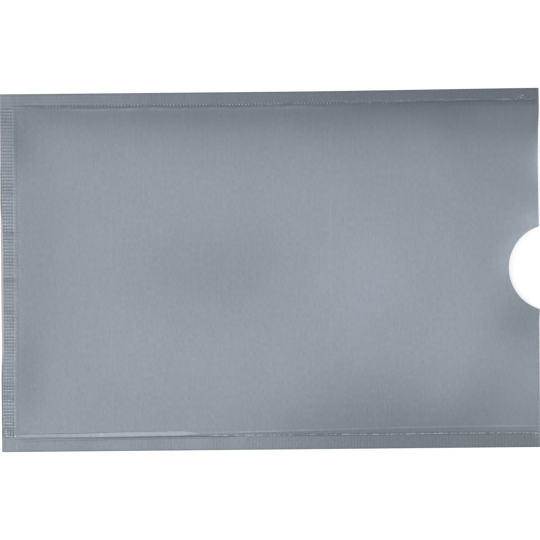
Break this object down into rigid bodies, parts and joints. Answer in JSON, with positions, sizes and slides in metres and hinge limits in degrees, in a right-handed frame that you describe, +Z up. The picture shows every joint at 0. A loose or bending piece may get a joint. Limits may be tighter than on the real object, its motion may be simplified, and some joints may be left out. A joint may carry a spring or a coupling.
{
  "type": "foil card sleeve",
  "caption": "Flat foil laminate sleeve for one bank-size card, heat-sealed on both sides and one end, with crimped seals and a round thumb notch in the open mouth.",
  "frame": {"origin": "centre of the rear face's outline, on the plane that the sleeve lies on", "axes": "+X along the length and out of the open mouth, +Y across the width, +Z up out of the front wall"},
  "size_m": [0.09, 0.06, 0.0019],
  "materials": {
    "polyester_film": "satin metallised film, blue-grey silver",
    "aluminium_foil": "matte rolled foil",
    "sealant_film": "soft milky heat-seal film over foil",
    "fused_seal": "melted and pressed heat-seal film"
  },
  "bodies": {
    "root": {"front_polyester_film": "polyester_film", "front_aluminium_foil": "aluminium_foil", "front_sealant_film": "sealant_film", "rear_sealant_film": "sealant_film", "rear_aluminium_foil": "aluminium_foil", "rear_polyester_film": "polyester_film", "upper_side_seal": "fused_seal", "lower_side_seal": "fused_seal", "closed_end_seal": "fused_seal"}
  },
  "joints": []
}
